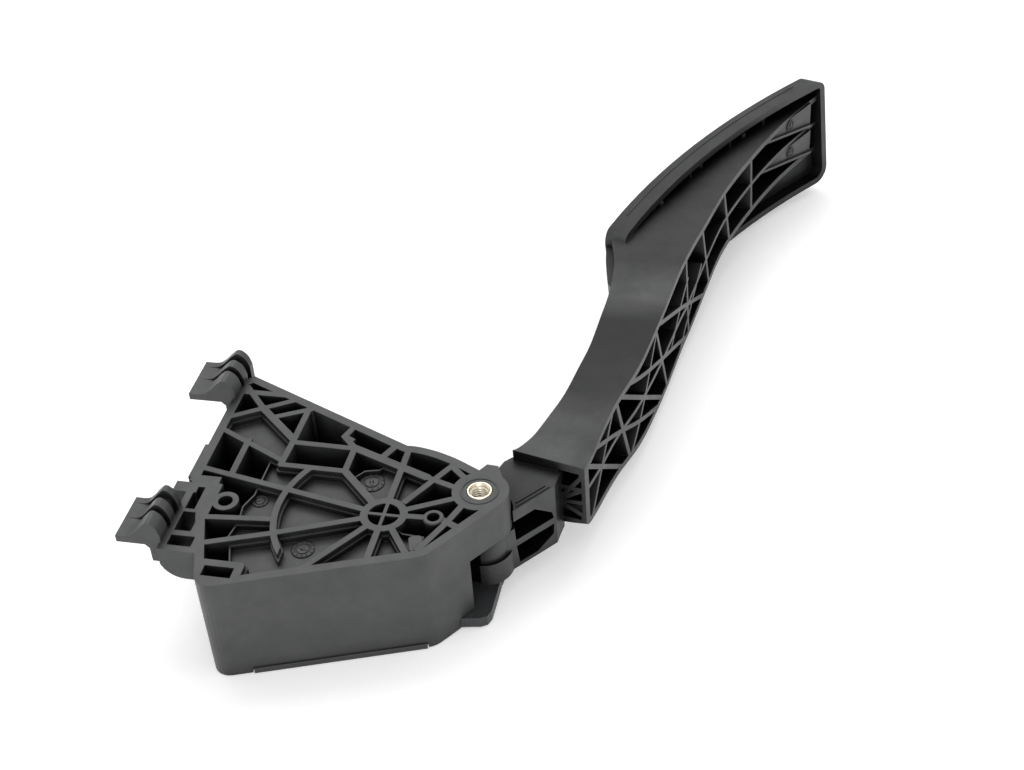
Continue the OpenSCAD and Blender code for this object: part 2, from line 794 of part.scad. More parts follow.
// Pockets in the side of the root, drawn on its side plane
module root_pockets() {
    translate([5.6, -5.1, 0]) rotate(root_dir) rotate([90, 0, 0]) translate([0, 0, -10]) linear_extrude(12) {
        polygon([[7.2, 27.4], [16.2, 27.4], [23.2, 21.6], [23.8, 18.9], [7.8, 18.9]]);
        polygon([[7.8, 16.3], [23.8, 16.3], [23.4, 12], [16.5, 8.6], [8.7, 8.6]]);
    }
}

// Pockets between the ribs that fan out on the end wall of the arm beside the root
module end_pockets() {
    translate([5.2, 25.1, 0]) rotate(-12.7) rotate([90, 0, 0]) translate([0, 0, -5]) linear_extrude(8) {
        polygon([[16.2, 21.8], [16.2, 32.8], [23.4, 32.8], [23.4, 31.6]]);
        polygon([[18.8, 22.8], [24.2, 30.2], [24.2, 26.9]]);
        polygon([[17.9, 20.2], [24.2, 24.9], [24.2, 21.2]]);
        polygon([[17.7, 18.7], [24.2, 19.6], [24.2, 15.8]]);
        polygon([[16.2, 12.6], [16.2, 17.6], [23.8, 14.2], [23.8, 12.6]]);
    }
}

// Plan of the lever beyond the hub, grown by the given amount
module lever_plan(grow = 0) {
    bar([0, 0], seat_at, lever_w + 2 * grow);
    translate(seat_at) circle(r = lever_w / 2 + grow);
}

// The lever that works inside the housing
module inner_lever() {
    slab(root_low, 15.8) difference() {
        union() {
            circle(r = 9.4);
            lever_plan();
        }
        polygon([[0.4, -6], [0.4, -12], [-3.6, -12], [-3.6, -6]]);
    }
}

module pedal_arm() {
    color(black) difference() {
        union() {
            difference() {
                arm_body();
                pad_front();
            }
            lean() pad();
            pad_gussets();
            lean() pad_lip();
            slab(hub_low, hub_top) circle(r = hub_r);
            slab(15, hub_top) intersection() {
                circle(r = 8.2);
                polygon([[0.6, 0], [0.6, -12], [12, -12], [12, 12], [-4, 12], [-4, 6]]);
            }
            inner_lever();
            difference() {
                slab(root_low, root_top) root_plan();
                slab(hub_top, root_top + 1) circle(r = boss_r + 0.7);
                root_pockets();
            }
        }
        translate([0, 0, -1]) cylinder(h = 60, d = pin_d + 2 * bush_t);
        slab(-1, hub_low) circle(r = 12);
        slab(hub_top, 60) circle(r = boss_r + 0.6);
        lean() grip_grooves();
        translate(concat(magnet_at, 15.8 - 1)) cylinder(h = 5, d = magnet_d);
    }
}

module spring_seat() {
    color([0.85, 0.82, 0.7]) difference() {
        translate([seat_at[0], seat_at[1], spring_z]) rotate(spring_dir) union() {
            translate([5.4, 0, 0]) rotate([0, 90, 0]) cylinder(h = 2, r = spring_out_r + 0.6);
            translate([7.4 - e, 0, 0]) rotate([0, 90, 0]) cylinder(h = seat_len, r = spring_in_r - wire_in / 2 - 0.2);
            translate([2, -4.6, -3.2]) cube([3.5, 9.2, 6.4]);
        }
        slab(0, 30) lever_plan(0.03);
    }
}

// A coil spring swept round its axis along X
function helix(r, len, turns, n) = [
    for (i = [0 : turns * n]) let (a = 360 * i / n) [len * i / (turns * n), r * cos(a), r * sin(a)]];

module coil(r, wire, len, turns) {
    sides = 6;
    n = 10;
    path = helix(r, len, turns, n);
    ring = [for (i = [0 : len(path) - 1], k = [0 : sides - 1])
        let (a = 360 * i / n, b = 360 * k / sides, q = r + wire / 2 * cos(b))
            [path[i][0] + wire / 2 * sin(b), q * cos(a), q * sin(a)]];
    last = len(path) - 1;
    faces = concat(
        [[for (k = [0 : sides - 1]) k]],
        [[for (k = [sides - 1 : -1 : 0]) last * sides + k]],
        [for (i = [0 : last - 1], k = [0 : sides - 1])
            let (a = i * sides + k, b = i * sides + (k + 1) % sides)
                [a, a + sides, b + sides, b]]);
    polyhedron(points = ring, faces = faces, convexity = 10);
}

module spring_place() {
    translate([spring_from[0], spring_from[1], spring_z]) rotate(spring_dir) children();
}

module return_spring_outer() {
    color("silver") spring_place() translate([wire_out / 2 + 0.1, 0, 0])
        coil(spring_out_r, wire_out, spring_len - wire_out - 0.2, 7);
}

module return_spring_inner() {
    color("silver") spring_place() translate([wire_in / 2 + 0.1, 0, 0])
        mirror([0, 1, 0]) coil(spring_in_r, wire_in, spring_len - wire_in - 0.2, 9);
}

module spring_cup() {
    color([0.85, 0.82, 0.7]) translate([spring_to[0], spring_to[1], spring_z]) rotate(spring_dir) union() {
        rotate([0, 90, 0]) cylinder(h = 3, r = spring_out_r + 1);
        translate([-4, 0, 0]) rotate([0, 90, 0]) cylinder(h = 5, r = spring_in_r - wire_in / 2 - 0.2);
    }
}

// Distance from the middle of the lever's end to the inside of the front wall
seat_to_wall = (seat_at - front_left) * front_normal - wall;

module idle_bumper() {
    color([0.3, 0.32, 0.3]) translate([seat_at[0], seat_at[1], spring_z]) rotate(front_dir)
        translate([-5.4, 0.1 - seat_to_wall, -3.5]) cube([6, seat_to_wall - lever_w / 2 - 0.2, 7]);
}

module travel_bumper() {
    color([0.3, 0.32, 0.3]) stop_place() translate([-3.5, -bumper_t, spring_z - 4]) cube([7, bumper_t, 8]);
}

magnet_at = [-9.6, -12.2];
magnet_d = 6;
board_z = 20;
board_top = board_z + board_t;
board_mid = [-27, -3];
board_dir = far_dir;

module magnet() {
    color([0.35, 0.35, 0.38]) translate(concat(magnet_at, 15)) cylinder(h = 2.4, d = magnet_d - 0.1);
}

module magnet_yoke() {
    color("silver") translate(concat(magnet_at, 14.8 + e)) cylinder(h = 0.16, d = magnet_d - 0.1);
}

module board_place() {
    translate([board_mid[0], board_mid[1], board_z]) rotate(board_dir) children();
}

function turn(p, a) = [p[0] * cos(a) - p[1] * sin(a), p[0] * sin(a) + p[1] * cos(a)];
function board_screw_at() = [for (s = [-1, 1]) board_mid + turn([s * (board_l / 2 - 3), 0], board_dir)];

module board_posts() {
    for (p = board_screw_at()) slab(board_top, high_z + 1) translate(p) circle(r = 2.6);
}

module sensor_board() {
    color([0.1, 0.35, 0.2]) board_place() difference() {
        translate([-board_l / 2, -board_w / 2, 0]) cube([board_l, board_w, board_t]);
        for (s = [-1, 1]) translate([s * (board_l / 2 - 3), 0, -1]) cylinder(h = 4, d = 2.2);
    }
}

module hall_sensors() {
    color([0.12, 0.12, 0.12]) board_place() for (s = [3, 8.4])
        translate([s, -4, -1.2]) cube([4, 5, 1.2]);
}

module board_parts() {
    color([0.7, 0.62, 0.5]) board_place() for (i = [0 : 3])
        translate([-12 + i * 4.4, 3, -1]) cube([2, 1.25, 1]);
}

module board_screws() {
    color("silver") for (p = board_screw_at()) translate(concat(p, 0)) {
        translate([0, 0, board_z - 1.4]) cylinder(h = 1.4, d = 4);
        translate([0, 0, board_z - e]) cylinder(h = board_t + 3, d = 2);
    }
}

housing();
cover();
cover_seal();
cover_screws();
threaded_insert();
pivot_pin();
bush_upper();
bush_lower();
thrust_washers();
pedal_arm();
spring_seat();
return_spring_outer();
return_spring_inner();
spring_cup();
idle_bumper();
travel_bumper();
magnet();
magnet_yoke();
sensor_board();
hall_sensors();
board_parts();
board_screws();
terminals();
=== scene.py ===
import math

import bmesh
import bpy
from mathutils import Matrix, Vector


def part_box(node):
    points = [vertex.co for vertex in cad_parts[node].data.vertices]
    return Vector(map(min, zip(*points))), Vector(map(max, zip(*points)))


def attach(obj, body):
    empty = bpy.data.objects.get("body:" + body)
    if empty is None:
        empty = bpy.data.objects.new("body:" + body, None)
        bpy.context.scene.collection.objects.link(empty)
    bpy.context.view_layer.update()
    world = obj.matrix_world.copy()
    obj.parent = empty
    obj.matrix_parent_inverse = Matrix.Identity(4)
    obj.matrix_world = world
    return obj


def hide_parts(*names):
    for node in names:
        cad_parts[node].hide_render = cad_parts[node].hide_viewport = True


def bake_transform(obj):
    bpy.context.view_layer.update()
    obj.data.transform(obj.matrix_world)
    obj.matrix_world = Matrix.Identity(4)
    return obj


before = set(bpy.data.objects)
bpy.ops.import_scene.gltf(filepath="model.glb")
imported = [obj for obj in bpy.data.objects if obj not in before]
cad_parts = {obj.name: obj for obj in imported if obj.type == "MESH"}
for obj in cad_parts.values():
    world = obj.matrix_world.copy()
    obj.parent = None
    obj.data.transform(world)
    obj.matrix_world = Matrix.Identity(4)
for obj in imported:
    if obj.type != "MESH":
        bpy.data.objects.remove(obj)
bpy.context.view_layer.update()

MM = 0.001
IMAGE_W, IMAGE_H = 1024, 770

# The photograph's perspective, in pixels: focal length and the point to which upright edges converge
FOCAL_PX = 1700.0
DOWN_POINT_PX = (675.0, 2520.0)
# A point of the pivot axis at the height of the insert's boss, its pixel, and the scale there
ANCHOR_PX = (479.5, 491.0)
ANCHOR_MM = (0.0, 0.0, 40.0)
ANCHOR_PX_PER_MM = 3.15
CAMERA_TURN_DEG = -12.0

# ---------------------------------------------------------------- materials

# Which sockets of a Mix node hold its factor, its two colours and their mix
MIX_FACTOR, MIX_A, MIX_B, MIX_RESULT = 0, 6, 7, 2

WHITE = (1, 1, 1, 1)
EDGE_PALE_TONE = (0.19, 0.192, 0.196)

# Cosine of the turn from a face's normal to its rounded one, where the pale edge, painted highlight and
# rubbed wear together, begins and where it is full
EDGE_PALE_BEGINS, EDGE_PALE_FULL = 0.99, 0.8

# Openness of a place, from nought to one, and how much of its tone is left there by the painted shade of
# recesses
SHALLOW_RECESS_SHADE = ((0.0, 0.01), (0.42, 0.07), (0.64, 0.6), (0.84, 1.0))
DEEP_RECESS_SHADE = ((0.0, 0.01), (0.56, 0.04), (0.78, 0.3), (0.94, 1.0))
METAL_RECESS_SHADE = ((0.0, 0.05), (0.35, 0.25), (0.7, 0.85), (0.9, 1.0))
METAL_REACH_MM = 4.0

# Distance along the arm in millimetres, and how much of its upper side's tone is left there, pale where
# sheen is painted and darker between
ARM_LENGTH_MM = 290.0
ARM_SHEEN = (
    (8, 0.55),
    (24, 0.95),
    (40, 0.9),
    (56, 0.22),
    (96, 0.12),
    (110, 0.95),
    (119, 1.0),
    (134, 0.35),
    (285, 0.55),
)
# Height of a face's normal at which it starts to count as the upper side, and where it fully does
UPPER_FROM, UPPER_FULL = 0.7, 0.97

GRAIN_DEPTH_M = 0.0002
# The gloss varies in finer patches than the tone
GLOSS_FINER = 3.1


def socket(node, *names):
    """The first of the named inputs that the node has."""
    for name in names:
        if name in node.inputs:
            return node.inputs[name]
    raise KeyError(names)


def new_material(name):
    """A material with nothing but its shader and output."""
    mat = bpy.data.materials.new(name)
    mat.use_nodes = True
    tree = mat.node_tree
    tree.nodes.clear()
    out = tree.nodes.new("ShaderNodeOutputMaterial")
    shader = tree.nodes.new("ShaderNodeBsdfPrincipled")
    tree.links.new(shader.outputs[0], out.inputs[0])
    return mat, tree, shader


def object_noise(tree, scale, detail=4.0, rough=0.6, stretch=(1, 1, 1)):
    """Noise in the object's own coordinates."""
    coord = tree.nodes.new("ShaderNodeTexCoord")
    mapping = tree.nodes.new("ShaderNodeMapping")
    mapping.inputs["Scale"].default_value = stretch
    noise = tree.nodes.new("ShaderNodeTexNoise")
    noise.inputs["Scale"].default_value = scale
    noise.inputs["Detail"].default_value = detail
    noise.inputs["Roughness"].default_value = rough
    tree.links.new(coord.outputs["Object"], mapping.inputs["Vector"])
    tree.links.new(mapping.outputs["Vector"], noise.inputs["Vector"])
    return noise


def ramp(tree, source, stops):
    """A colour ramp whose stops are (position, grey or colour)."""
    node = tree.nodes.new("ShaderNodeValToRGB")
    while len(node.color_ramp.elements) < len(stops):
        node.color_ramp.elements.new(0.5)
    for element, (at, value) in zip(node.color_ramp.elements, stops):
        element.position = at
        colour = value if isinstance(value, tuple) else (value,) * 3
        element.color = (*colour, 1.0)
    tree.links.new(source, node.inputs["Fac"])
    return node


def colour_mix(tree):
    node = tree.nodes.new("ShaderNodeMix")
    node.data_type = "RGBA"
    return node


def times(tree, colour, factor):
    """The product of two colours."""
    node = colour_mix(tree)
    node.blend_type = "MULTIPLY"
    node.inputs[MIX_FACTOR].default_value = 1.0
    tree.links.new(colour, node.inputs[MIX_A])
    tree.links.new(factor, node.inputs[MIX_B])
    return node.outputs[MIX_RESULT]


def painted_recess_shade(tree, reach, stops):
    """Painted shade: darkens the colour in pockets and corners by how closed in they are."""
    occlusion = tree.nodes.new("ShaderNodeAmbientOcclusion")
    occlusion.samples = 6
    occlusion.inputs["Distance"].default_value = reach * MM
    return ramp(tree, occlusion.outputs["AO"], stops).outputs["Color"]


def painted_sheen_along_arm(tree, stops):
    """Painted sheen: the tone of the arm's upper side along its length, pale in bands that stand in for the
    lamps' reflection and darker between them.
    """
    coord = tree.nodes.new("ShaderNodeTexCoord")
    split = tree.nodes.new("ShaderNodeSeparateXYZ")
    tree.links.new(coord.outputs["Object"], split.inputs[0])
    along = tree.nodes.new("ShaderNodeMapRange")
    along.inputs["From Max"].default_value = ARM_LENGTH_MM * MM
    tree.links.new(split.outputs["Y"], along.inputs["Value"])
    tone = ramp(tree, along.outputs["Result"], [(y / ARM_LENGTH_MM, v) for y, v in stops])
    geometry = tree.nodes.new("ShaderNodeNewGeometry")
    tilt = tree.nodes.new("ShaderNodeSeparateXYZ")
    tree.links.new(geometry.outputs["Normal"], tilt.inputs[0])
    upper = tree.nodes.new("ShaderNodeMapRange")
    upper.inputs["From Min"].default_value = UPPER_FROM
    upper.inputs["From Max"].default_value = UPPER_FULL
    tree.links.new(tilt.outputs["Z"], upper.inputs["Value"])
    mix = colour_mix(tree)
    mix.inputs[MIX_A].default_value = WHITE
    tree.links.new(upper.outputs["Result"], mix.inputs[MIX_FACTOR])
    tree.links.new(tone.outputs["Color"], mix.inputs[MIX_B])
    return mix.outputs[MIX_RESULT]


def edge_highlight_and_wear(tree, colour, rounding, patches):
    """Pale edges, a painted highlight together with rubbed wear, where the rounded normal leaves the face's
    own.
    """
    geometry = tree.nodes.new("ShaderNodeNewGeometry")
    turn = tree.nodes.new("ShaderNodeVectorMath")
    turn.operation = "DOT_PRODUCT"
    tree.links.new(geometry.outputs["Normal"], turn.inputs[0])
    tree.links.new(rounding.outputs["Normal"], turn.inputs[1])
    amount = tree.nodes.new("ShaderNodeMapRange")
    amount.inputs["From Min"].default_value = EDGE_PALE_BEGINS
    amount.inputs["From Max"].default_value = EDGE_PALE_FULL
    tree.links.new(turn.outputs["Value"], amount.inputs["Value"])
    paled = tree.nodes.new("ShaderNodeMath")
    paled.operation = "MULTIPLY"
    tree.links.new(amount.outputs["Result"], paled.inputs[0])
    tree.links.new(patches, paled.inputs[1])
    mix = colour_mix(tree)
    tree.links.new(paled.outputs[0], mix.inputs[MIX_FACTOR])
    tree.links.new(colour, mix.inputs[MIX_A])
    mix.inputs[MIX_B].default_value = (*EDGE_PALE_TONE, 1.0)
    return mix.outputs[MIX_RESULT]


def plastic(
    name,
    dark,
    pale,
    roughness,
    grain=0.12,
    grain_scale=2600.0,
    cloud_scale=38.0,
    gloss_level=0.4,
    edge=0.0,
    recess=None,
    sheen_stops=None,
):
    """Moulded plastic with a cloudy tone, varying gloss and a fine grain.

    An edge in millimetres rounds its edges and pales them, a painted highlight along with rubbed wear; a
    recess of (reach, stops) paints shade into its pockets; and the stops along the arm paint sheen bands
    and a darker middle into its tone.
    """
    mat, tree, shader = new_material(name)
    cloud = object_noise(tree, cloud_scale, 5.0, 0.65)
    tone = ramp(tree, cloud.outputs["Fac"], [(0.3, dark), (0.72, pale)])
    colour = tone.outputs["Color"]
    # Painted sheen: pale bands and a darker middle along the arm's upper side
    if sheen_stops:
        colour = times(tree, colour, painted_sheen_along_arm(tree, sheen_stops))
    rounding = None
    # Pale edges: a painted highlight together with rubbed wear
    if edge:
        rounding = tree.nodes.new("ShaderNodeBevel")
        rounding.samples = 4
        rounding.inputs["Radius"].default_value = edge * MM
        colour = edge_highlight_and_wear(tree, colour, rounding, cloud.outputs["Fac"])
    # Painted shade: the colour darkens in pockets and corners
    if recess:
        reach, stops = recess
        colour = times(tree, colour, painted_recess_shade(tree, reach, stops))
    tree.links.new(colour, shader.inputs["Base Color"])
    gloss = object_noise(tree, cloud_scale * GLOSS_FINER, 6.0, 0.7)
    level = ramp(tree, gloss.outputs["Fac"], [(0.25, roughness - 0.08), (0.8, roughness + 0.1)])
    tree.links.new(level.outputs["Color"], shader.inputs["Roughness"])
    socket(shader, "Specular IOR Level", "Specular").default_value = gloss_level
    fine = object_noise(tree, grain_scale, 2.0, 0.5)
    bump = tree.nodes.new("ShaderNodeBump")
    bump.inputs["Strength"].default_value = grain
    bump.inputs["Distance"].default_value = GRAIN_DEPTH_M
    tree.links.new(fine.outputs["Fac"], bump.inputs["Height"])
    if rounding:
        tree.links.new(rounding.outputs["Normal"], bump.inputs["Normal"])
    tree.links.new(bump.outputs["Normal"], shader.inputs["Normal"])
    return mat


def metal(name, dark, pale, roughness, stretch=(1, 1, 1), scale=600.0):
    """Bare metal with fine streaks and painted shade in its recesses."""
    mat, tree, shader = new_material(name)
    streak = object_noise(tree, scale, 4.0, 0.6, stretch)
    tone = ramp(tree, streak.outputs["Fac"], [(0.3, dark), (0.7, pale)])
    # Painted shade: the colour darkens in the recesses
    painted_shade = painted_recess_shade(tree, METAL_REACH_MM, METAL_RECESS_SHADE)
    tree.links.new(times(tree, tone.outputs["Color"], painted_shade), shader.inputs["Base Color"])
    level = ramp(tree, streak.outputs["Fac"], [(0.3, roughness + 0.1), (0.8, roughness - 0.06)])
    tree.links.new(level.outputs["Color"], shader.inputs["Roughness"])
    shader.inputs["Metallic"].default_value = 1.0
    return mat


black = plastic(
    "black_plastic",
    (0.036, 0.037, 0.038),
    (0.062, 0.063, 0.065),
    0.43,
    cloud_scale=55.0,
    gloss_level=0.42,
    edge=0.4,
    recess=(13.0, SHALLOW_RECESS_SHADE),
)
arm_black = plastic(
    "arm_plastic",
    (0.044, 0.045, 0.046),
    (0.092, 0.093, 0.095),
    0.4,
    cloud_scale=48.0,
    gloss_level=0.2,
    edge=0.45,
    recess=(21.0, DEEP_RECESS_SHADE),
    sheen_stops=ARM_SHEEN,
)
cover_black = plastic("cover_plastic", (0.026, 0.027, 0.029), (0.036, 0.037, 0.039), 0.46, edge=0.35)
rubber = plastic("rubber", (0.014, 0.014, 0.014), (0.024, 0.024, 0.024), 0.7, 0.2, 1800.0)
ivory = plastic("slide_plastic", (0.62, 0.6, 0.5), (0.72, 0.7, 0.6), 0.4, 0.05)
ferrite = plastic("ferrite", (0.07, 0.07, 0.075), (0.11, 0.11, 0.115), 0.45)
board_green = plastic("board_mask", (0.015, 0.1, 0.045), (0.025, 0.14, 0.06), 0.3, 0.05)
chip_black = plastic("chip", (0.01, 0.01, 0.01), (0.02, 0.02, 0.02), 0.5)
ceramic = plastic("ceramic", (0.36, 0.28, 0.18), (0.5, 0.4, 0.28), 0.35)
brass = metal("brass", (0.64, 0.58, 0.43), (0.88, 0.83, 0.68), 0.2)
bronze = metal("bronze", (0.36, 0.23, 0.12), (0.5, 0.34, 0.2), 0.45)
steel = metal("steel", (0.45, 0.45, 0.46), (0.66, 0.66, 0.67), 0.3, (1, 1, 12))
tin = metal("tin", (0.5, 0.5, 0.48), (0.7, 0.7, 0.68), 0.35)

# Nodes that aren't named here are steel
MATERIALS = {
    "housing": black,
    "cover": cover_black,
    "pedal_arm": arm_black,
    "cover_seal": rubber,
    "idle_bumper": rubber,
    "travel_bumper": rubber,
    "threaded_insert": brass,
    "bush_upper": bronze,
    "bush_lower": bronze,
    "thrust_washers": ivory,
    "spring_seat": ivory,
    "spring_cup": ivory,
    "magnet": ferrite,
    "sensor_board": board_green,
    "hall_sensors": chip_black,
    "board_parts": ceramic,
    "terminals": tin,
}


def dress(obj, mat):
    obj.data.materials.clear()
    obj.data.materials.append(mat)


def soften(obj, width, segments=2, angle=32.0):
    """Rounds the sharp edges of a CAD piece as a mould would leave them."""
    bevel = obj.modifiers.new("edge_round", "BEVEL")
    bevel.width = width * MM
    bevel.segments = segments
    bevel.limit_method = "ANGLE"
    bevel.angle_limit = math.radians(angle)
    bevel.use_clamp_overlap = False
    bevel.harden_normals = False
    bevel.miter_outer = "MITER_ARC"


def shade(obj, angle=28.0):
    """Smooth shading with sharp edges left where faces meet at more than the angle."""
    mesh = obj.data
    for poly in mesh.polygons:
        poly.use_smooth = True
    mesh.set_sharp_from_angle(angle=math.radians(angle))


for name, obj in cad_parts.items():
    dress(obj, MATERIALS.get(name, steel))
    shade(obj)

for name, width in (("housing", 0.3), ("pedal_arm", 0.35), ("cover", 0.3)):
    soften(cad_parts[name], width)

# ---------------------------------------------------------------- making pieces


def new_object(name, mesh, mat, body):
    """Adds a mesh as a piece that rides on the body, or on none where body is None."""
    obj = bpy.data.objects.new(name, mesh)
    bpy.context.scene.collection.objects.link(obj)
    dress(obj, mat)
    if body:
        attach(obj, body)
    return obj


def mesh_from(name, bm):
    mesh = bpy.data.meshes.new(name)
    bm.to_mesh(mesh)
    bm.free()
    return mesh


def join_rings(bm, rings):
    """Closes a circle of rings, each a closed row of points, with four-cornered faces."""
    for a, b in zip(rings, rings[1:] + rings[:1]):
        for i in range(len(a)):
            j = (i + 1) % len(a)
            bm.faces.new((a[i], b[i], b[j], a[j]))


def turned(bm, profile, centre=(0, 0), turns=48):
    """Adds a closed ring of (radius, height) points turned round an upright axis."""
    rings = []
    for k in range(turns):
        a = 2 * math.pi * k / turns
        c, d = math.cos(a), math.sin(a)
        rings.append([bm.verts.new((centre[0] + r * c, centre[1] + r * d, z)) for r, z in profile])
    join_rings(bm, rings)


def prism(bm, outline, low, high):
    """Adds a flat prism of an outline between two heights."""
    under = [bm.verts.new((x, y, low)) for x, y in outline]
    over = [bm.verts.new((x, y, high)) for x, y in outline]
    bm.faces.new(under)
    bm.faces.new(over)
    for i in range(len(outline)):
        j = (i + 1) % len(outline)
        bm.faces.new((under[i], under[j], over[j], over[i]))


def bar(bm, start, end, half, low, high):
    """Adds a straight bar between two points, half of its width to each side."""
    prism(bm, [start - half, end - half, end + half, start + half], low, high)


def placed(name, bm, matrix, mat, body, angle=35):
    """Makes an object of a bmesh drawn in millimetres, put in its place by the matrix."""
    bmesh.ops.recalc_face_normals(bm, faces=bm.faces)
    bm.transform(Matrix.Scale(MM, 4) @ matrix)
    obj = new_object(name, mesh_from(name, bm), mat, body)
    shade(obj, angle)
    return obj


def facing(origin, normal):
    """The matrix of a flat drawing whose height runs along the normal."""
    z = Vector(normal).normalized()
    up = Vector((0, 0, 1)) if abs(z.z) < 0.9 else Vector((0, 1, 0))
    x = up.cross(z).normalized()
    y = z.cross(x)
    return Matrix.Translation(origin) @ Matrix((x, y, z)).transposed().to_4x4()


# ---------------------------------------------------------------- threaded insert

# The insert stands a little proud of the CAD piece, with bevels of (width, depth) at its edge and mouth
INSERT_PROUD_MM = 0.35
INSERT_EDGE_MM = (0.3, 0.4)
INSERT_MOUTH_MM = (0.45, 0.5)

THREAD_PITCH_MM = 1.0
THREAD_CREST_MM, THREAD_ROOT_MM = 2.58, 3.08
THREAD_RINGS = 72
THREAD_STEPS_PER_PITCH = 8
# The flanks' slope, and the flat left at the crest
THREAD_FLANK, THREAD_FLAT = 1.25, 0.12
# At the mouth the thread opens over this many steps into a lead-in, this much wider than the root
THREAD_LEAD_STEPS, THREAD_LEAD_MM = 5.0, 0.25


def insert_with_thread():
    """The brass insert with a real helical thread in its bore."""
    low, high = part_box("threaded_insert")
    outer = (high.x - low.x) / 2 / MM
    top = high.z / MM + INSERT_PROUD_MM
    bottom = low.z / MM
    crest, root = THREAD_CREST_MM, THREAD_ROOT_MM
    mouth_wide, mouth_deep = INSERT_MOUTH_MM
    edge_wide, edge_deep = INSERT_EDGE_MM
    levels = int((top - mouth_deep - bottom) / THREAD_PITCH_MM * THREAD_STEPS_PER_PITCH)
    bm = bmesh.new()
    rings = []
    for k in range(THREAD_RINGS):
        a = 2 * math.pi * k / THREAD_RINGS
        ring = [
            (outer, bottom),
            (outer, top - edge_deep),
            (outer - edge_wide, top),
            (root + mouth_wide, top),
        ]
        for i in range(levels, -1, -1):
            z = bottom + i / THREAD_STEPS_PER_PITCH * THREAD_PITCH_MM
            phase = (z / THREAD_PITCH_MM - k / THREAD_RINGS) % 1.0
            depth = abs(phase - 0.5) * 2
            r = crest + (root - crest) * min(1.0, max(0.0, depth * THREAD_FLANK - THREAD_FLAT))
            fade = min(1.0, i / THREAD_STEPS_PER_PITCH)
            entry = max(0.0, 1 - (levels - i) / THREAD_LEAD_STEPS)
            r = r + (root + THREAD_LEAD_MM - r) * entry
            ring.append((r * fade + root * (1 - fade), z))
        rings.append([bm.verts.new(Vector((r * math.cos(a), r * math.sin(a), z)) * MM) for r, z in ring])
    join_rings(bm, rings)
    bmesh.ops.recalc_face_normals(bm, faces=bm.faces)
    obj = new_object("insert_thread", mesh_from("insert_thread", bm), brass, "base")
    shade(obj, 40)
    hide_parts("threaded_insert")


insert_with_thread()

# ---------------------------------------------------------------- return springs

# The springs stand on the inner lever's seat and run to the cup on the housing's anchor
SEAT_R, SEAT_AT = 27.0, math.radians(232)
SEAT_TO_SPRING_MM = 7.4
SPRING_DIR = math.radians(147)
SPRING_LEN_MM = 30.0
SPRING_Z = 10.2
SPRING_FROM_MM = (
    SEAT_R * math.cos(SEAT_AT) + SEAT_TO_SPRING_MM * math.cos(SPRING_DIR),
    SEAT_R * math.sin(SEAT_AT) + SEAT_TO_SPRING_MM * math.sin(SPRING_DIR),
    SPRING_Z,
)
SPRING_END_GAP_MM = 0.1
SPRING_POINTS_PER_TURN = 24


def helix_spring(node, name, radius, wire, turns, mirror=1):
    """A return spring as a real coil of round wire, along the CAD spring's own axis."""
    centre = Vector(SPRING_FROM_MM)
    axis = Vector((math.cos(SPRING_DIR), math.sin(SPRING_DIR), 0))
    side = Vector((-axis.y, axis.x, 0))
    up = Vector((0, 0, 1))
    length = SPRING_LEN_MM - wire - 2 * SPRING_END_GAP_MM
    curve = bpy.data.curves.new(name, "CURVE")
    curve.dimensions = "3D"
    curve.bevel_depth = wire / 2 * MM
    curve.bevel_resolution = 3
    curve.use_fill_caps = True
    count = turns * SPRING_POINTS_PER_TURN + 1
    spline = curve.splines.new("POLY")
    spline.points.add(count - 1)
    for i in range(count):
        t = i / (count - 1)
        a = 2 * math.pi * turns * t
        p = centre + axis * (wire / 2 + SPRING_END_GAP_MM + length * t)
        p = p + side * (radius * math.cos(a)) + up * (radius * mirror * math.sin(a))
        spline.points[i].co = (*(p * MM), 1.0)
    holder = bpy.data.objects.new(name + "_path", curve)
    bpy.context.scene.collection.objects.link(holder)
    dg = bpy.context.evaluated_depsgraph_get()
    mesh = bpy.data.meshes.new_from_object(holder.evaluated_get(dg))
    bpy.data.objects.remove(holder)
    obj = new_object(name, mesh, steel, None)
    shade(obj, 60)
    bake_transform(obj)
    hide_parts(node)


helix_spring("return_spring_outer", "spring_outer", 5.6, 1.3, 7)
helix_spring("return_spring_inner", "spring_inner", 3.5, 1.0, 9, -1)

# ---------------------------------------------------------------- moulded details of the housing and root

# A dial of this radius: its rings as (radius, height), its pointer's outline, and its circle of dots
DIAL_R_MM = 3.2
DIAL_RINGS = (
    (3.2, -0.3),
    (3.2, 0.3),
    (3.05, 0.42),
    (2.3, 0.42),
    (2.2, 0.1),
    (1.75, 0.1),
    (1.65, 0.42),
    (0.55, 0.42),
    (0.5, 0.15),
    (0.5, -0.3),
)
DIAL_POINTER = ((-0.25, -1.3), (0.25, -1.3), (0.25, 0.5), (0, 1.4), (-0.25, 0.5))
DIAL_DOTS, DIAL_DOTS_R = 12, 2.72


def mould_dial(name, origin, normal, turn, mat, body, size=DIAL_R_MM):
    """A plain round mark of a mould's insert: two rings, a pointer and a circle of dots."""
    bm = bmesh.new()
    k = size / DIAL_R_MM
    turned(bm, [(r * k, z) for r, z in DIAL_RINGS])
    prism(bm, [(x * k, y * k) for x, y in DIAL_POINTER], 0.4, 0.62)
    dot = [(0.04, 0.3), (0.24 * k, 0.3), (0.2 * k, 0.62), (0.04, 0.66)]
    for i in range(DIAL_DOTS):
        a = 2 * math.pi * i / DIAL_DOTS
        turned(bm, dot, (DIAL_DOTS_R * k * math.cos(a), DIAL_DOTS_R * k * math.sin(a)), 10)
    spin = Matrix.Rotation(math.radians(turn), 4, "Z")
    placed(name, bm, facing(origin, normal) @ spin, mat, body)


